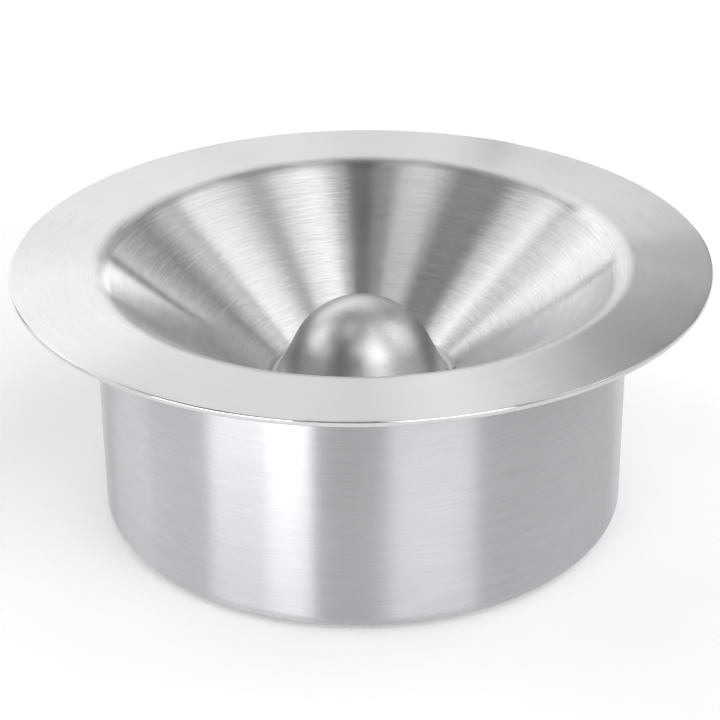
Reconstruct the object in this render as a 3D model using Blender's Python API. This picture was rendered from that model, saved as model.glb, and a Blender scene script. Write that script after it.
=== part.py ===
"""Countertop waste pot: a deep-drawn pot and a wide-brimmed funnel lid that lifts off it.

Metres, +Z up. The origin is on the surface that the pot stands on, at the centre of its base, and Z is the
axis that every turned piece shares. The lid's pieces hang from an empty at the centre of the brim's top
face, so their profiles count downwards from that face.
"""

from math import acos, cos, hypot, pi, radians, sin, sqrt, tan

import bmesh
import bpy
import numpy as np

MM = 0.001

# Overall sizes
SHEET = 1.2 * MM  # stainless sheet of the funnel and the dome
BRIM_R = 75.0 * MM
BODY_H = 58.0 * MM  # underside of the pot to the top of the brim
FIT_GAP = 0.3 * MM  # clearance left where two pieces touch

# Funnel
MOUTH_R = 58.8 * MM  # where the flat brim starts to bend down
MOUTH_BEND_R = 8.0 * MM
CONE_SLOPE = radians(38.5)
THROAT_R = 20.8 * MM
BRIM_CHAMFER = 0.15 * MM

# Dome
DOME_DROP = 10.9 * MM  # top of the dome below the brim
DOME_CAP_R = 16.5 * MM
DOME_SLOPE = radians(63.75)
TROUGH_R = 1.0 * MM
DOME_RIM_R = 18.8 * MM  # outer edge of the dome at the slots
SLOT_COUNT = 3
SLOT_SPAN = radians(60.0)
FIRST_SLOT = radians(-56.0)

# Pot
POT_R = 57.6 * MM
POT_WALL = 1.0 * MM
POT_CORNER_R = 3.4 * MM
POT_RIM_DROP = 2.0 * MM  # pot's rim below the top of the brim
STANDING_RING_R = 47.0 * MM  # inner edge of the ring that the pot would stand on
RECESS_DEPTH = 1.2 * MM
RECESS_RUN = 2.0 * MM

# Locating collar and grip ring
COLLAR_R = 54.4 * MM  # outer face of the collar's web
COLLAR_SHEET = 0.8 * MM
COLLAR_LIP_R = 55.9 * MM
COLLAR_DROP = 9.3 * MM  # bottom of the collar below the brim
RING_R = 56.3 * MM
RING_H = 3.6 * MM
RING_ROUND = 0.7 * MM

# Foot pads
FOOT_R = 4.5 * MM
FOOT_CIRCLE_R = 38.0 * MM
FOOT_STICK_OUT = 0.8 * MM
FOOT_CHAMFER = 0.3 * MM
FOOT_COUNT = 4

# Facets
TURN_STEPS = 72
FOOT_STEPS = 20
ARC_STEP = 11.0  # degrees
SMALL_ARC_STEP = 26.0  # on rounds of a few millimetres
SMOOTH_ANGLE = radians(30.0)


def arc(centre, radius, start, end, step=ARC_STEP):
    """Points (r, z) along an arc in the turning plane, from one angle in degrees to another."""
    steps = max(2, round(abs(end - start) / step))
    angles = np.radians(np.linspace(start, end, steps + 1))
    return [(centre[0] + radius * cos(a), centre[1] + radius * sin(a)) for a in angles]


def degrees_of(angle):
    return angle * 180.0 / pi


def material(name, colour, roughness, metallic):
    mat = bpy.data.materials.new(name)
    mat.use_nodes = True
    shader = mat.node_tree.nodes["Principled BSDF"]
    shader.inputs["Base Color"].default_value = (*colour, 1.0)
    shader.inputs["Roughness"].default_value = roughness
    shader.inputs["Metallic"].default_value = metallic
    return mat


def frame(name, z):
    empty = bpy.data.objects.new(name, None)
    empty.location = (0.0, 0.0, z)
    bpy.context.collection.objects.link(empty)
    return empty


def add_object(name, bm, mat, parent):
    """Turn a bmesh into a named, smooth-shaded object whose faces point out."""
    bmesh.ops.recalc_face_normals(bm, faces=bm.faces)
    if bm.calc_volume(signed=True) < 0.0:
        bmesh.ops.reverse_faces(bm, faces=bm.faces)
    mesh = bpy.data.meshes.new(name)
    bm.to_mesh(mesh)
    bm.free()
    mesh.materials.append(mat)
    mesh.shade_smooth()
    mesh.set_sharp_from_angle(angle=SMOOTH_ANGLE)
    obj = bpy.data.objects.new(name, mesh)
    obj.parent = parent
    bpy.context.collection.objects.link(obj)
    return obj


def turned(name, profile, mat, parent, steps=TURN_STEPS):
    """Spin a profile of (r, z) points about Z. It is a closed loop unless both its ends are on the axis."""
    bm = bmesh.new()
    verts = [bm.verts.new((r, 0.0, z)) for r, z in profile]
    on_axis = profile[0][0] == 0.0 and profile[-1][0] == 0.0
    pairs = list(zip(verts, verts[1:]))
    if not on_axis:
        pairs.append((verts[-1], verts[0]))
    edges = [bm.edges.new(pair) for pair in pairs]
    bmesh.ops.spin(
        bm, geom=verts + edges, cent=(0.0, 0.0, 0.0), axis=(0.0, 0.0, 1.0),
        angle=2.0 * pi, steps=steps, use_merge=True,
    )
    bmesh.ops.remove_doubles(bm, verts=bm.verts, dist=MM / 1000.0)
    return add_object(name, bm, mat, parent)


def ring_sector(name, r_in, r_out, z_low, z_high, start, span, parent):
    """A hidden cutter: a block that follows the axis round through part of a turn."""
    bm = bmesh.new()
    steps = round(TURN_STEPS * span / (2.0 * pi))
    section = [(r_in, z_low), (r_out, z_low), (r_out, z_high), (r_in, z_high)]
    slices = []
    for k in range(steps + 1):
        a = start + span * k / steps
        slices.append([bm.verts.new((r * cos(a), r * sin(a), z)) for r, z in section])
    for here, there in zip(slices, slices[1:]):
        for i in range(4):
            j = (i + 1) % 4
            bm.faces.new((here[i], here[j], there[j], there[i]))
    bm.faces.new(slices[0])
    bm.faces.new(slices[-1])
    cutter = add_object(name, bm, None, parent)
    cutter.hide_render = True
    cutter.display_type = "WIRE"
    return cutter


def cone_height(r):
    """Top face of the cone at radius r, below the top of the brim."""
    bend_end_r = MOUTH_R - MOUTH_BEND_R * sin(CONE_SLOPE)
    bend_end_z = -MOUTH_BEND_R * (1.0 - cos(CONE_SLOPE))
    return bend_end_z - (bend_end_r - r) * tan(CONE_SLOPE)


def brim_underside(r, gap):
    """Height of a face that follows the funnel's underside at a gap, round the bend and down the cone."""
    bend_r = MOUTH_BEND_R - SHEET - gap
    if r < MOUTH_R - bend_r * sin(CONE_SLOPE):
        return cone_height(r) - (SHEET + gap) / cos(CONE_SLOPE)
    return -MOUTH_BEND_R + sqrt(bend_r ** 2 - (MOUTH_R - r) ** 2)


def make_funnel(mat, lid):
    """One pressing: a flat brim, a rounded mouth and a cone down to an open throat."""
    bend_centre = (MOUTH_R, -MOUTH_BEND_R)
    bend_end = 90.0 + degrees_of(CONE_SLOPE)
    edge_top = [(BRIM_R, -BRIM_CHAMFER), (BRIM_R - BRIM_CHAMFER, 0.0)]
    edge_bottom = [(BRIM_R - BRIM_CHAMFER, -SHEET), (BRIM_R, BRIM_CHAMFER - SHEET)]
    throat_top = (THROAT_R, cone_height(THROAT_R))
    throat_bottom = (THROAT_R, throat_top[1] - SHEET / cos(CONE_SLOPE))
    top = arc(bend_centre, MOUTH_BEND_R, 90.0, bend_end)
    under = arc(bend_centre, MOUTH_BEND_R - SHEET, bend_end, 90.0)
    profile = edge_top + top + [throat_top, throat_bottom] + under + edge_bottom
    return turned("funnel", profile, mat, lid)


def trough_centre():
    """Centre of the small fillet that is tangent to the dome's side and to the line of the cone."""
    side_normal = (sin(DOME_SLOPE), cos(DOME_SLOPE))
    cone_normal = (-sin(CONE_SLOPE), cos(CONE_SLOPE))
    cap_centre = (0.0, -DOME_DROP - DOME_CAP_R)
    side_reach = DOME_CAP_R + TROUGH_R + np.dot(cap_centre, side_normal)
    cone_reach = TROUGH_R + np.dot((THROAT_R, cone_height(THROAT_R)), cone_normal)
    r, z = np.linalg.solve([side_normal, cone_normal], [side_reach, cone_reach])
    return float(r), float(z)


def make_dome(mat, lid):
    """A second pressing: a dome whose turned-up rim is cut into bridges that meet the funnel's throat."""
    cap_centre = (0.0, -DOME_DROP - DOME_CAP_R)
    fillet = trough_centre()
    cap_end = 90.0 - degrees_of(DOME_SLOPE)
    fillet_start = 270.0 - degrees_of(DOME_SLOPE)
    fillet_end = 270.0 + degrees_of(CONE_SLOPE)
    bridge_r = THROAT_R - FIT_GAP
    bridge_top = (bridge_r, cone_height(bridge_r))
    under_r = TROUGH_R + SHEET
    under_end = 360.0 - degrees_of(acos((bridge_r - fillet[0]) / under_r))
    outside = arc(cap_centre, DOME_CAP_R, 90.0, cap_end)
    outside += arc(fillet, TROUGH_R, fillet_start, fillet_end, SMALL_ARC_STEP)
    inside = arc(fillet, under_r, under_end, fillet_start, SMALL_ARC_STEP)
    inside += arc(cap_centre, DOME_CAP_R - SHEET, cap_end, 90.0)
    outside[0] = (0.0, outside[0][1])
    inside[-1] = (0.0, inside[-1][1])
    dome = turned("dome", outside + [bridge_top] + inside, mat, lid)
    low = bridge_top[1] - 4.0 * SHEET
    high = bridge_top[1] + 2.0 * SHEET
    for k in range(SLOT_COUNT):
        start = FIRST_SLOT + 2.0 * pi * k / SLOT_COUNT
        cutter = ring_sector(
            f"slot_cutter_{k + 1}", DOME_RIM_R, THROAT_R + SHEET, low, high, start, SLOT_SPAN, lid
        )
        cut = dome.modifiers.new(f"slot_{k + 1}", "BOOLEAN")
        cut.operation = "DIFFERENCE"
        cut.object = cutter
    return dome


def make_collar(mat, lid):
    """A channel-section ring under the funnel's mouth that centres the lid in the pot."""
    inner_r = COLLAR_R - COLLAR_SHEET
    bottom = -COLLAR_DROP
    profile = [
        (COLLAR_LIP_R, brim_underside(COLLAR_LIP_R, FIT_GAP)),
        (COLLAR_R, brim_underside(COLLAR_R, FIT_GAP)),
        (inner_r, brim_underside(inner_r, FIT_GAP)),
        (inner_r, bottom),
        (COLLAR_LIP_R, bottom),
        (COLLAR_LIP_R, bottom + COLLAR_SHEET),
        (COLLAR_R, bottom + COLLAR_SHEET),
        (COLLAR_R, brim_underside(COLLAR_R, FIT_GAP + COLLAR_SHEET)),
        (COLLAR_LIP_R, brim_underside(COLLAR_LIP_R, FIT_GAP + COLLAR_SHEET)),
    ]
    return turned("locating_collar", profile, mat, lid)


def make_grip_ring(mat, lid):
    """A soft ring that sits in the collar's channel and bears on the inside of the pot."""
    inner_r = COLLAR_R + FIT_GAP
    bottom = -COLLAR_DROP + COLLAR_SHEET + FIT_GAP
    top = bottom + RING_H
    round_r = RING_R - RING_ROUND
    profile = [(inner_r, top)] + [(inner_r, bottom)]
    profile += arc((round_r, bottom + RING_ROUND), RING_ROUND, -90.0, 0.0, SMALL_ARC_STEP)
    profile += arc((round_r, top - RING_ROUND), RING_ROUND, 0.0, 90.0, SMALL_ARC_STEP)
    return turned("grip_ring", profile, mat, lid)


def make_pot(mat, pot):
    """A deep-drawn pot with a plain rim, a tight corner and a base that steps up inside a standing ring."""
    low = FOOT_STICK_OUT
    rim = low + BODY_H - POT_RIM_DROP
    corner = (POT_R - POT_CORNER_R, low + POT_CORNER_R)
    recess_r = STANDING_RING_R - RECESS_RUN
    # Half the turn of the step, which shifts its inner corners along the step to keep the wall even.
    shift = POT_WALL * (hypot(RECESS_RUN, RECESS_DEPTH) - RECESS_RUN) / RECESS_DEPTH
    outside = [(POT_R, rim)] + arc(corner, POT_CORNER_R, 0.0, -90.0, SMALL_ARC_STEP)
    outside += [(STANDING_RING_R, low), (recess_r, low + RECESS_DEPTH), (0.0, low + RECESS_DEPTH)]
    floor = low + POT_WALL
    inside = [(0.0, floor + RECESS_DEPTH), (recess_r + shift, floor + RECESS_DEPTH)]
    inside += [(STANDING_RING_R + shift, floor)]
    inside += arc(corner, POT_CORNER_R - POT_WALL, -90.0, 0.0, SMALL_ARC_STEP)
    inside += [(POT_R - POT_WALL, rim)]
    # The loop starts and ends on the axis, so that it can be spun as an open profile.
    return turned("pot", inside + outside, mat, pot)


def make_foot(index, mat, pot):
    """A soft disc in the recess of the base, which stands a little below the pot."""
    top = FOOT_STICK_OUT + RECESS_DEPTH - FIT_GAP
    profile = [
        (0.0, top), (FOOT_R, top), (FOOT_R, FOOT_CHAMFER), (FOOT_R - FOOT_CHAMFER, 0.0), (0.0, 0.0),
    ]
    foot = turned(f"foot_pad_{index + 1}", profile, mat, pot, steps=FOOT_STEPS)
    angle = 2.0 * pi * (index + 0.5) / FOOT_COUNT
    foot.location = (FOOT_CIRCLE_R * cos(angle), FOOT_CIRCLE_R * sin(angle), 0.0)
    return foot


def main():
    for obj in list(bpy.data.objects):
        bpy.data.objects.remove(obj, do_unlink=True)

    brushed = material("brushed_steel_lid", (0.76, 0.76, 0.77), 0.28, 1.0)
    dome_steel = material("brushed_steel_dome", (0.74, 0.74, 0.75), 0.24, 1.0)
    pot_steel = material("brushed_steel_pot", (0.76, 0.76, 0.78), 0.30, 1.0)
    collar_steel = material("plain_steel_collar", (0.62, 0.62, 0.63), 0.38, 1.0)
    grip_rubber = material("grip_ring_rubber", (0.09, 0.09, 0.095), 0.6, 0.0)
    foot_rubber = material("foot_rubber", (0.05, 0.05, 0.05), 0.7, 0.0)

    pot = frame("pot_frame", 0.0)
    lid = frame("lid_frame", FOOT_STICK_OUT + BODY_H)
    make_funnel(brushed, lid)
    make_dome(dome_steel, lid)
    make_collar(collar_steel, lid)
    make_grip_ring(grip_rubber, lid)
    make_pot(pot_steel, pot)
    for index in range(FOOT_COUNT):
        make_foot(index, foot_rubber, pot)


main()
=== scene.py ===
"""The looks of a brushed steel waste pot with a funnel lid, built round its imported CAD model.

Metres, +Z up. Every turned piece is a fine lathe mesh about the Z axis that stands for the CAD node of the
same shape. Sizes come from the CAD nodes' boxes and from the few driving sizes below.
"""

from math import acos, cos, degrees, hypot, pi, radians, sin, sqrt, tan

import bmesh
import bpy
import numpy as np
from mathutils import Matrix, Vector


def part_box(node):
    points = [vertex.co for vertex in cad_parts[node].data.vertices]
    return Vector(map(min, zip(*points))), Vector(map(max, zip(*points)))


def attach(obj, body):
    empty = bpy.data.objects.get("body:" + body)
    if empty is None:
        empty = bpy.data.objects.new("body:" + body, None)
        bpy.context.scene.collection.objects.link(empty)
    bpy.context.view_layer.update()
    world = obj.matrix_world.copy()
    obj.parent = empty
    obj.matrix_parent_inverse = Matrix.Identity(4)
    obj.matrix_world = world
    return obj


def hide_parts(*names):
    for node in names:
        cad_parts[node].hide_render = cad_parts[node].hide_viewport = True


MM = 0.001

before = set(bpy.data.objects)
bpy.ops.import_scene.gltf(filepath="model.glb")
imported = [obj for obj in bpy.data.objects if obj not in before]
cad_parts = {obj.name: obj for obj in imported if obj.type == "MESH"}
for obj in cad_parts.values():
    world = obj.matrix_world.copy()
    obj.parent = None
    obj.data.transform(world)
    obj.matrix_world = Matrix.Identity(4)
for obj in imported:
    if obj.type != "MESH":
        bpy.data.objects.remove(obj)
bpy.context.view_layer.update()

# ---------------------------------------------------------------- sizes read from the CAD model
FUNNEL_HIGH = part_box("funnel")[1]
DOME_LOW, DOME_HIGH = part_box("dome")
POT_LOW, POT_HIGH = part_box("pot")
COLLAR_LOW, COLLAR_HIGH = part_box("locating_collar")
RING_LOW, RING_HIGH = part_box("grip_ring")

BRIM_R = FUNNEL_HIGH.x
BRIM_Z = FUNNEL_HIGH.z
POT_R = POT_HIGH.x
POT_Z = POT_LOW.z

# ---------------------------------------------------------------- sizes that no box gives
SHEET = 1.2 * MM  # of the funnel and the dome
MOUTH_R = 58.8 * MM  # where the flat brim starts to bend down
MOUTH_BEND_R = 8.0 * MM
CONE_SLOPE = radians(38.5)
THROAT_R = 20.8 * MM  # open lower end of the cone
DOME_CAP_R = 16.5 * MM
DOME_SLOPE = radians(63.75)
TROUGH_R = 1.0 * MM  # between the dome's side and its turned-up rim
DOME_RIM_R = 18.8 * MM  # the dome's edge at the slots
SLOT_COUNT = 3
SLOT_SPAN = radians(60.0)
FIRST_SLOT = radians(-56.0)
POT_WALL = 1.0 * MM
POT_CORNER_R = 3.4 * MM
STANDING_RING_R = 47.0 * MM  # inner edge of the ring under the pot, where the recess starts
RECESS_DEPTH = 1.2 * MM
RECESS_RUN = 2.0 * MM
COLLAR_R = 54.4 * MM  # bottom of the collar's channel
COLLAR_SHEET = 0.8 * MM
EDGE_ROUND = 0.3 * MM  # polished corners of the brim's edge

LINE_SHADE = 0.28  # how far brush lines lighten and darken the steel
LINE_DEPTH = 0.012 * MM  # height of the bump of the brush lines
RUBBER_GRAIN = 0.03 * MM  # height of the bump on the silicone

TURN_STEPS = 360  # faces round a lathe mesh
FINE_STEP = 3.0  # degrees of arc between rings of a lathe mesh
SHARP_ANGLE = radians(35.0)  # edges that turn more than this stay sharp

# Studio
STUDIO_R = 1.5  # distance of the standing softboxes
CEILING_Z = 1.2
AIM_Z = 0.04
STRIP_R = 0.45  # distance and height of the low strips
STRIP_Z = 0.13
STAGE_R = 1.35  # the stage's wall stands inside the softboxes, and their light passes through it
STAGE_STEPS = 64
WALL_Z = 2.5
PAPER = (0.93, 0.93, 0.93)
PAPER_ROUGHNESS = 0.9
FLOOR_GLOW = 0.15
WALL_GLOW = 0.9
WORLD_FILL = 0.035

# Camera
CAMERA_ELEVATION = radians(27.0)
CAMERA_DISTANCE = 0.4725
CAMERA_ROLL = -0.01  # radians
CAMERA_AIM = Vector((-0.4 * MM, 0.0, BRIM_Z - 25.37 * MM))
CAMERA_LENS = 107.2  # millimetres, for a sensor 36 mm wide


# ---------------------------------------------------------------- mesh tools
def arc(centre, radius, start, end, step=FINE_STEP):
    """Points (r, z) along an arc in the turning plane, from one angle in degrees to another."""
    steps = max(2, round(abs(end - start) / step))
    angles = np.radians(np.linspace(start, end, steps + 1))
    return [(centre[0] + radius * cos(a), centre[1] + radius * sin(a)) for a in angles]


def lathe(name, profile, steps=TURN_STEPS, centre=(0.0, 0.0)):
    """A closed mesh turned about the Z axis from (r, z) points. The profile is a loop unless it ends on the axis."""
    angles = np.linspace(0.0, 2.0 * pi, steps, endpoint=False)
    coords, rings = [], []
    for r, z in profile:
        if r < 1e-9:
            rings.append([len(coords)])
            coords.append((centre[0], centre[1], z))
            continue
        rings.append(list(range(len(coords), len(coords) + steps)))
        coords.extend((centre[0] + r * cos(a), centre[1] + r * sin(a), z) for a in angles)
    faces = []
    looped = len(rings[0]) > 1
    pairs = list(zip(rings, rings[1:])) + ([(rings[-1], rings[0])] if looped else [])
    for a, b in pairs:
        for i in range(steps):
            j = (i + 1) % steps
            if len(a) == 1:
                faces.append((a[0], b[i], b[j]))
            elif len(b) == 1:
                faces.append((a[i], b[0], a[j]))
            else:
                faces.append((a[i], b[i], b[j], a[j]))
    mesh = bpy.data.meshes.new(name)
    mesh.from_pydata(coords, [], faces)
    mesh.update()
    return finish_mesh(name, mesh)


def finish_mesh(name, mesh):
    """An object for the mesh, with its faces turned outwards, smooth but for its sharp edges."""
    bm = bmesh.new()
    bm.from_mesh(mesh)
    bmesh.ops.recalc_face_normals(bm, faces=bm.faces)
    if bm.calc_volume(signed=True) < 0.0:
        bmesh.ops.reverse_faces(bm, faces=bm.faces)
    bm.to_mesh(mesh)
    bm.free()
    mesh.shade_smooth()
    mesh.set_sharp_from_angle(angle=SHARP_ANGLE)
    obj = bpy.data.objects.new(name, mesh)
    bpy.context.scene.collection.objects.link(obj)
    return obj


def ring_sector(r_in, r_out, z_low, z_high, start, span):
    """A block that follows the axis round through part of a turn, used as a cutter."""
    steps = round(TURN_STEPS * span / (2.0 * pi))
    section = [(r_in, z_low), (r_out, z_low), (r_out, z_high), (r_in, z_high)]
    coords, faces = [], []
    for k in range(steps + 1):
        a = start + span * k / steps
        coords.extend((r * cos(a), r * sin(a), z) for r, z in section)
    for k in range(steps):
        for i in range(4):
            j = (i + 1) % 4
            faces.append((4 * k + i, 4 * k + j, 4 * k + 4 + j, 4 * k + 4 + i))
    faces.append((3, 2, 1, 0))
    faces.append(tuple(4 * steps + i for i in range(4)))
    mesh = bpy.data.meshes.new("cutter")
    mesh.from_pydata(coords, [], faces)
    return finish_mesh("cutter", mesh)


def cut(obj, cutters):
    """Take the cutters out of obj, and keep the result as its mesh."""
    for cutter in cutters:
        mod = obj.modifiers.new("cut", "BOOLEAN")
        mod.operation = "DIFFERENCE"
        mod.solver = "EXACT"
        mod.object = cutter
    bpy.context.view_layer.update()
    depsgraph = bpy.context.evaluated_depsgraph_get()
    mesh = bpy.data.meshes.new_from_object(obj.evaluated_get(depsgraph))
    obj.modifiers.clear()
    obj.data = mesh
    mesh.shade_smooth()
    mesh.set_sharp_from_angle(angle=SHARP_ANGLE)
    for cutter in cutters:
        bpy.data.objects.remove(cutter, do_unlink=True)


# ---------------------------------------------------------------- profiles
def cone_z(r):
    """Height of the cone's top face at radius r."""
    bend_end_r = MOUTH_R - MOUTH_BEND_R * sin(CONE_SLOPE)
    bend_end_z = BRIM_Z - MOUTH_BEND_R * (1.0 - cos(CONE_SLOPE))
    return bend_end_z - (bend_end_r - r) * tan(CONE_SLOPE)


def under_z(r, gap):
    """Height of a face that follows the funnel's underside at a gap, round the bend and down the cone."""
    bend_r = MOUTH_BEND_R - SHEET - gap
    if r < MOUTH_R - bend_r * sin(CONE_SLOPE):
        return cone_z(r) - (SHEET + gap) / cos(CONE_SLOPE)
    return BRIM_Z - MOUTH_BEND_R + sqrt(bend_r ** 2 - (MOUTH_R - r) ** 2)


def make_funnel():
    """The brim, the bend at the mouth, the cone and the open throat, all of one sheet."""
    bend_centre = (MOUTH_R, BRIM_Z - MOUTH_BEND_R)
    bend_end = 90.0 + degrees(CONE_SLOPE)
    low = BRIM_Z - SHEET
    edge = arc((BRIM_R - EDGE_ROUND, low + EDGE_ROUND), EDGE_ROUND, -90.0, 0.0, 15.0)
    edge += arc((BRIM_R - EDGE_ROUND, BRIM_Z - EDGE_ROUND), EDGE_ROUND, 0.0, 90.0, 15.0)
    brim = [(r, BRIM_Z) for r in np.linspace(BRIM_R - EDGE_ROUND, MOUTH_R, 16)[1:-1]]
    throat_z = cone_z(THROAT_R)
    top = arc(bend_centre, MOUTH_BEND_R, 90.0, bend_end, 1.5)
    cone = [(r, cone_z(r)) for r in np.linspace(top[-1][0], THROAT_R, 24)[1:]]
    throat = [(THROAT_R, throat_z - SHEET / cos(CONE_SLOPE))]
    under = arc(bend_centre, MOUTH_BEND_R - SHEET, bend_end, 90.0)
    return lathe("funnel_lid", edge + brim + top + cone + throat + under)


def trough_centre():
    """Centre (r, z) of the small round trough between the dome's straight side and the cone."""
    side_normal = (sin(DOME_SLOPE), cos(DOME_SLOPE))
    cone_normal = (-sin(CONE_SLOPE), cos(CONE_SLOPE))
    cap_centre = (0.0, DOME_HIGH.z - DOME_CAP_R)
    side_reach = DOME_CAP_R + TROUGH_R + np.dot(cap_centre, side_normal)
    cone_reach = TROUGH_R + np.dot((THROAT_R, cone_z(THROAT_R)), cone_normal)
    r, z = np.linalg.solve([side_normal, cone_normal], [side_reach, cone_reach])
    return float(r), float(z)


def make_dome():
    """The dome, with its turned-up rim cut away at the slots, which leaves the bridges."""
    cap_centre = (0.0, DOME_HIGH.z - DOME_CAP_R)
    fillet = trough_centre()
    cap_end = 90.0 - degrees(DOME_SLOPE)
    fillet_start = 270.0 - degrees(DOME_SLOPE)
    under_r = TROUGH_R + SHEET
    under_end = 360.0 - degrees(acos((THROAT_R - fillet[0]) / under_r))
    outside = arc(cap_centre, DOME_CAP_R, 90.0, cap_end, 2.0)
    outside += arc(fillet, TROUGH_R, fillet_start, 270.0 + degrees(CONE_SLOPE), 8.0)
    inside = arc(fillet, under_r, under_end, fillet_start, 8.0)
    inside += arc(cap_centre, DOME_CAP_R - SHEET, cap_end, 90.0, 4.0)
    outside[0] = (0.0, outside[0][1])
    inside[-1] = (0.0, inside[-1][1])
    dome = lathe("dome_cap", outside + [(THROAT_R, cone_z(THROAT_R))] + inside)
    low, high = DOME_LOW.z - 5.0 * MM, cone_z(THROAT_R) + 3.0 * MM
    starts = [FIRST_SLOT + 2.0 * pi * k / SLOT_COUNT for k in range(SLOT_COUNT)]
    cut(dome, [ring_sector(DOME_RIM_R, THROAT_R + 1.0 * MM, low, high, a, SLOT_SPAN) for a in starts])
    return dome


def make_pot():
    """The pot, with a rounded lip and a recess in its base."""
    rim = under_z(POT_R - 0.5 * POT_WALL, 0.1 * MM)
    low = POT_Z
    corner = (POT_R - POT_CORNER_R, low + POT_CORNER_R)
    recess_r = STANDING_RING_R - RECESS_RUN
    shift = POT_WALL * (hypot(RECESS_RUN, RECESS_DEPTH) - RECESS_RUN) / RECESS_DEPTH
    half = 0.5 * POT_WALL
    lip = arc((POT_R - half, rim - half), half, 180.0, 0.0, 20.0)
    outside = arc(corner, POT_CORNER_R, 0.0, -90.0)
    outside += [(STANDING_RING_R, low), (recess_r, low + RECESS_DEPTH), (0.0, low + RECESS_DEPTH)]
    floor = low + POT_WALL
    inside = [(0.0, floor + RECESS_DEPTH), (recess_r + shift, floor + RECESS_DEPTH)]
    inside += [(STANDING_RING_R + shift, floor)]
    inside += arc(corner, POT_CORNER_R - POT_WALL, -90.0, 0.0)
    return lathe("pot_body", inside + lip + outside)


def make_collar():
    """A channel-section ring that follows the funnel's underside."""
    inner_r, lip_r, low = COLLAR_R - COLLAR_SHEET, COLLAR_HIGH.x, COLLAR_LOW.z
    touch = 0.05 * MM
    top = [(r, under_z(r, touch)) for r in np.linspace(lip_r, inner_r, 6)]
    channel = [(r, under_z(r, touch + COLLAR_SHEET)) for r in np.linspace(COLLAR_R, lip_r, 4)]
    lower = [(inner_r, low), (lip_r, low), (lip_r, low + COLLAR_SHEET), (COLLAR_R, low + COLLAR_SHEET)]
    return lathe("collar_ring", top + lower + channel, 240)


def make_grip_ring():
    """A soft ring with two rounded lips that face the pot."""
    inner_r, outer_r = COLLAR_R + 0.1 * MM, RING_HIGH.x
    low, high = RING_LOW.z, RING_HIGH.z
    lip = (high - low) / 4.0
    profile = [(inner_r, high), (inner_r, low)]
    for centre in (low + lip, high - lip):
        profile += arc((outer_r - lip, centre), lip, -80.0, 80.0, 16.0)
    return lathe("grip_ring_lips", profile, 240)


def make_foot(node):
    """A pad with a rounded edge and a slightly dished underside."""
    low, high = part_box(node)
    r, x, y = (high.x - low.x) / 2.0, (high.x + low.x) / 2.0, (high.y + low.y) / 2.0
    round_r = 0.4 * MM
    dish = 0.1 * MM
    profile = [(0.0, high.z), (r, high.z)] + arc((r - round_r, low.z + round_r), round_r, 0.0, -90.0, 15.0)
    profile += [(r - 1.2 * MM, low.z), (r - 1.8 * MM, low.z + dish), (0.0, low.z + dish)]
    return lathe(node + "_rubber", profile, 64, (x, y))


# ---------------------------------------------------------------- materials
class Graph:
    """A short way to add nodes to a material and link them."""

    def __init__(self, name):
        self.mat = bpy.data.materials.new(name)
        self.mat.use_nodes = True
        self.tree = self.mat.node_tree
        self.shader = self.tree.nodes["Principled BSDF"]

    def add(self, kind, inputs=(), **settings):
        node = self.tree.nodes.new(kind)
        for key, value in settings.items():
            setattr(node, key, value)
        for key, value in dict(inputs).items():
            if isinstance(value, bpy.types.NodeSocket):
                self.tree.links.new(value, node.inputs[key])
            else:
                node.inputs[key].default_value = value
        return node.outputs[0]

    def math(self, operation, a, b=0.0, c=0.0):
        return self.add("ShaderNodeMath", {0: a, 1: b, 2: c}, operation=operation)

    def span(self, value, start, end, low, high):
        """Map a value from start-end onto low-high."""
        ends = {"Value": value, "From Min": start, "From Max": end, "To Min": low, "To Max": high}
        return self.add("ShaderNodeMapRange", ends)

    def ramp(self, value, low, high):
        """Map a 0-1 value onto low-high."""
        return self.span(value, 0.0, 1.0, low, high)

    def set(self, **values):
        for key, value in values.items():
            socket = self.shader.inputs[key.replace("_", " ")]
            if isinstance(value, bpy.types.NodeSocket):
                self.tree.links.new(value, socket)
            else:
                socket.default_value = value


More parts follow.
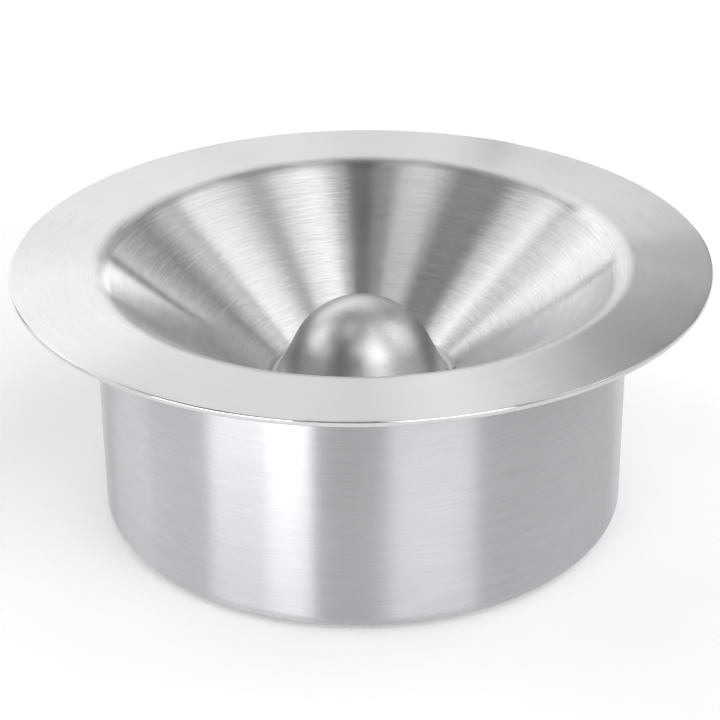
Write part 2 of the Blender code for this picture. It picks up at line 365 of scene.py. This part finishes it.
def brushed_steel(name, colour, roughness, anisotropy, height_share, streaks=1.0, grain=1.0, calm=None, edge=None):
    """Steel brushed round the Z axis: fine lines run round it, and highlights spread across them.

    height_share is how much of the distance across the lines is counted along Z rather than outwards. Beyond the
    radius calm the lines fade to a satin finish, and beyond the radius edge the steel is polished.
    """
    g = Graph(name)
    place = g.add("ShaderNodeTexCoord").node.outputs["Object"]
    flat = g.add("ShaderNodeVectorMath", {0: place, 1: (1.0, 1.0, 0.0)}, operation="MULTIPLY")
    radius = g.add("ShaderNodeVectorMath", {0: flat}, operation="LENGTH").node.outputs["Value"]
    height = g.add("ShaderNodeSeparateXYZ", {0: place}).node.outputs["Z"]
    across = g.math("ADD", radius, g.math("MULTIPLY", height, height_share))
    round_way = g.add("ShaderNodeVectorMath", {0: flat}, operation="NORMALIZE")

    def lines(width, turns, seed):
        """Noise drawn out round the axis: width is a line's width in metres, turns how often it breaks."""
        stretch = g.add("ShaderNodeVectorMath", {0: round_way, "Scale": turns}, operation="SCALE")
        rise = g.add("ShaderNodeCombineXYZ", {"Z": g.math("MULTIPLY_ADD", across, 1.0 / width, seed)})
        spot = g.add("ShaderNodeVectorMath", {0: stretch, 1: rise}, operation="ADD")
        return g.add("ShaderNodeTexNoise", {"Vector": spot, "Scale": 1.0, "Detail": 2.0, "Roughness": 0.6})

    fine = lines(0.22 * MM * grain, 11.0, 3.1)
    medium = lines(0.45 * MM * grain, 5.0, 17.7)
    broad = lines(2.6 * MM * grain, 1.8, 41.3)
    cloud = g.add("ShaderNodeTexNoise", {"Vector": place, "Scale": 60.0, "Detail": 5.0, "Roughness": 0.65})

    mixed = g.math("ADD", g.math("MULTIPLY", fine, 0.5), g.math("MULTIPLY", medium, 0.35))
    mixed = g.math("SUBTRACT", g.math("ADD", mixed, g.math("MULTIPLY", broad, 0.15)), 0.5)
    if calm:
        mixed = g.math("MULTIPLY", mixed, g.span(radius, calm - 3.0 * MM, calm, 1.0, 0.35))
    depth = LINE_SHADE * streaks
    shade = g.math("MULTIPLY", g.span(mixed, -0.5, 0.5, 1.0 - depth, 1.0 + depth), g.ramp(cloud, 0.92, 1.08))
    tint = g.add("ShaderNodeVectorMath", {0: colour, "Scale": shade}, operation="SCALE")
    rough = g.span(mixed, -0.5, 0.5, 0.8 * roughness, 1.2 * roughness)
    rough = g.math("MULTIPLY", rough, g.ramp(cloud, 0.9, 1.1))
    if edge:
        rough = g.math("MULTIPLY", rough, g.span(radius, edge - 0.1 * MM, edge, 1.0, 0.4))
    bump = g.add("ShaderNodeBump", {"Strength": 0.35 * streaks, "Distance": LINE_DEPTH, "Height": mixed})
    tangent = g.add("ShaderNodeTangent", direction_type="RADIAL", axis="Z")
    g.set(
        Base_Color=tint, Metallic=1.0, Roughness=rough, Anisotropic=anisotropy,
        Anisotropic_Rotation=0.25, Normal=bump, Tangent=tangent,
    )
    return g.mat


def rubber(name, colour, roughness):
    """Matt silicone with a fine grain."""
    g = Graph(name)
    place = g.add("ShaderNodeTexCoord").node.outputs["Object"]
    grain = g.add("ShaderNodeTexNoise", {"Vector": place, "Scale": 2200.0, "Detail": 3.0})
    smear = g.add("ShaderNodeTexNoise", {"Vector": place, "Scale": 160.0, "Detail": 2.0})
    tint = g.add("ShaderNodeVectorMath", {0: colour, "Scale": g.ramp(smear, 0.8, 1.25)}, operation="SCALE")
    bump = g.add("ShaderNodeBump", {"Strength": 0.3, "Distance": RUBBER_GRAIN, "Height": grain})
    g.set(Base_Color=tint, Roughness=g.ramp(smear, 0.85 * roughness, 1.1 * roughness), Normal=bump)
    return g.mat


# ---------------------------------------------------------------- stage
def plain(name, colour, roughness, glow):
    """Matt paper that glows a little, so that it comes out as white as a lit studio sweep."""
    g = Graph(name)
    g.set(Base_Color=(*colour, 1.0), Roughness=roughness, Specular_IOR_Level=0.2)
    g.set(Emission_Color=(1.0, 1.0, 1.0, 1.0), Emission_Strength=glow)
    return g.mat


def make_stage():
    """A round pale floor, and a white wall round it that only the camera sees, so it adds no reflections."""
    ring = [(STAGE_R * cos(a), STAGE_R * sin(a)) for a in np.linspace(0.0, 2.0 * pi, STAGE_STEPS, endpoint=False)]
    low = [(x, y, 0.0) for x, y in ring]
    high = [(x, y, WALL_Z) for x, y in ring]
    after = [(i + 1) % STAGE_STEPS for i in range(STAGE_STEPS)]
    walls = [(i, j, STAGE_STEPS + j, STAGE_STEPS + i) for i, j in enumerate(after)]
    floor_paper = plain("floor_paper", PAPER, PAPER_ROUGHNESS, FLOOR_GLOW)
    wall_paper = plain("wall_paper", PAPER, PAPER_ROUGHNESS, WALL_GLOW)
    for name, coords, faces, mat in (
        ("floor", low, [tuple(range(STAGE_STEPS))], floor_paper),
        ("backdrop", low + high, walls, wall_paper),
    ):
        mesh = bpy.data.meshes.new(name)
        mesh.from_pydata(coords, [], faces)
        mesh.materials.append(mat)
        obj = bpy.data.objects.new(name, mesh)
        bpy.context.scene.collection.objects.link(obj)
        if name == "backdrop":
            obj.visible_diffuse = obj.visible_glossy = obj.visible_shadow = False


def area_light(name, place, aim, width, height, radiance):
    """A rectangular light at place, turned to face aim. Its power follows from how bright its face is."""
    light = bpy.data.lights.new(name, "AREA")
    light.shape = "RECTANGLE"
    light.size, light.size_y = width, height
    light.energy = radiance * pi * width * height
    obj = bpy.data.objects.new(name, light)
    obj.location = place
    obj.rotation_euler = (aim - place).to_track_quat("-Z", "Y").to_euler()
    obj.visible_camera = False
    bpy.context.scene.collection.objects.link(obj)
    return obj


def wall_panel(name, azimuths, elevations, radiance):
    """A softbox that stands round the object. Azimuth 0 is the camera's side, and 90 is on its right."""
    azimuth, elevation = radians(sum(azimuths) / 2.0), radians(sum(elevations) / 2.0)
    width = 2.0 * STUDIO_R * tan(radians(azimuths[1] - azimuths[0]) / 2.0) * cos(elevation)
    height = 2.0 * STUDIO_R * tan(radians(elevations[1] - elevations[0]) / 2.0)
    aim = Vector((0.0, 0.0, AIM_Z))
    way = Vector((sin(azimuth) * cos(elevation), -cos(azimuth) * cos(elevation), sin(elevation)))
    return area_light(name, aim + STUDIO_R * way, aim, width, height, radiance)


def low_strip(name, azimuths, radiance):
    """A low softbox that stands on the floor close to the object."""
    azimuth = radians(sum(azimuths) / 2.0)
    width = 2.0 * STRIP_R * tan(radians(azimuths[1] - azimuths[0]) / 2.0)
    place = Vector((STRIP_R * sin(azimuth), -STRIP_R * cos(azimuth), STRIP_Z / 2.0))
    return area_light(name, place, Vector((0.0, 0.0, STRIP_Z / 2.0)), width, STRIP_Z, radiance)


def top_panel(name, across, depth, radiance):
    """A softbox that lies flat overhead. Across is its X range, and depth its Y range, away from the camera."""
    place = Vector((sum(across) / 2.0, sum(depth) / 2.0, CEILING_Z))
    floor_point = Vector((place.x, place.y, 0.0))
    return area_light(name, place, floor_point, across[1] - across[0], depth[1] - depth[0], radiance)


def make_lights():
    """Softboxes round the object and over it. Each is named for where it is, and gives a band of reflections."""
    low_strip("strip_left_near", (-36.0, -19.0), 7.9)
    low_strip("strip_left_far", (-60.0, -36.0), 5.0)
    wall_panel("wall_left_front", (-92.0, -62.0), (0.0, 45.0), 0.95)
    wall_panel("wall_left_back", (-124.0, -92.0), (0.0, 45.0), 1.95)
    wall_panel("wall_back_left", (-160.0, -134.0), (0.0, 40.0), 1.5)
    wall_panel("wall_back", (-187.0, -160.0), (8.0, 54.0), 1.38)
    wall_panel("wall_back_high", (156.0, 172.0), (36.0, 52.0), 1.2)
    wall_panel("wall_back_right", (132.0, 173.0), (18.0, 36.0), 0.38)
    wall_panel("key_right", (9.0, 47.0), (0.0, 45.0), 2.35)
    wall_panel("wall_right", (47.0, 85.0), (20.0, 45.0), 0.9)
    wall_panel("wall_right_back", (85.0, 130.0), (20.0, 45.0), 1.3)
    wall_panel("low_back_right", (126.0, 153.0), (0.0, 18.0), 1.6)
    wall_panel("low_back_edge", (158.0, 173.0), (0.0, 17.0), 1.9)
    top_panel("top_front_right", (0.1, 0.95), (-1.0, -0.6), 3.3)
    top_panel("top_front_left", (-0.4, 0.1), (-1.0, -0.6), 1.8)
    top_panel("top_left", (-0.42, -0.18), (-0.2, 0.2), 2.0)
    top_panel("top_left_mid", (-0.7, -0.42), (-0.2, 0.4), 0.5)
    top_panel("top_left_back", (-1.1, -0.6), (0.2, 1.0), 0.7)
    top_panel("top_right", (0.18, 0.42), (-0.6, 0.2), 1.5)
    top_panel("top_right_mid", (0.42, 0.75), (-0.6, 0.6), 0.9)
    top_panel("top_right_far", (0.75, 1.25), (-0.2, 0.6), 1.9)
    top_panel("top_right_near", (0.06, 0.18), (-0.2, 0.6), 0.6)
    top_panel("top_left_near", (-0.18, -0.06), (-0.2, 0.6), 0.5)
    world = bpy.data.worlds.new("studio")
    bpy.context.scene.world = world
    world.use_nodes = True
    background = world.node_tree.nodes["Background"]
    background.inputs["Color"].default_value = (1.0, 1.0, 1.0, 1.0)
    background.inputs["Strength"].default_value = WORLD_FILL


def make_camera():
    """The camera, at the height and distance that fit the object's outline."""
    camera = bpy.data.cameras.new("camera")
    camera.lens, camera.sensor_width = CAMERA_LENS, 36.0
    obj = bpy.data.objects.new("camera", camera)
    back = Vector((0.0, -cos(CAMERA_ELEVATION), sin(CAMERA_ELEVATION)))
    turn = (-back).to_track_quat("-Z", "Y").to_matrix().to_4x4()
    place = CAMERA_AIM + CAMERA_DISTANCE * back
    obj.matrix_world = Matrix.Translation(place) @ turn @ Matrix.Rotation(CAMERA_ROLL, 4, "Z")
    bpy.context.scene.collection.objects.link(obj)
    bpy.context.scene.camera = obj


# ---------------------------------------------------------------- the object
def dress(obj, node, body, mat):
    """Give a piece its material, and let it ride on its body in place of its CAD node."""
    obj.data.materials.clear()
    obj.data.materials.append(mat)
    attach(obj, body)
    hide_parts(node)


make_camera()
make_stage()
make_lights()

lid_steel = brushed_steel(
    "lid_brushed", (0.60, 0.60, 0.615), 0.24, 1.0, 0.8, 1.4, calm=MOUTH_R, edge=BRIM_R - EDGE_ROUND
)
dome_steel = brushed_steel("dome_brushed", (0.565, 0.565, 0.58), 0.4, 0.3, -1.0, 1.3, 0.8)
pot_steel = brushed_steel("pot_brushed", (0.555, 0.56, 0.58), 0.35, 1.0, 1.0, 0.9, 0.7)
collar_steel = brushed_steel("collar_plain", (0.62, 0.62, 0.63), 0.42, 0.2, 1.0, 1.0, 3.0)
grip_rubber = rubber("grip_silicone", (0.09, 0.09, 0.095), 0.55)
foot_rubber = rubber("foot_silicone", (0.05, 0.05, 0.05), 0.7)

dress(make_funnel(), "funnel", "lid", lid_steel)
dress(make_dome(), "dome", "lid", dome_steel)
dress(make_collar(), "locating_collar", "lid", collar_steel)
dress(make_grip_ring(), "grip_ring", "lid", grip_rubber)
dress(make_pot(), "pot", "pot", pot_steel)
for number in range(1, 5):
    node = f"foot_pad_{number}"
    dress(make_foot(node), node, "pot", foot_rubber)

bpy.context.scene.view_settings.view_transform = "Standard"
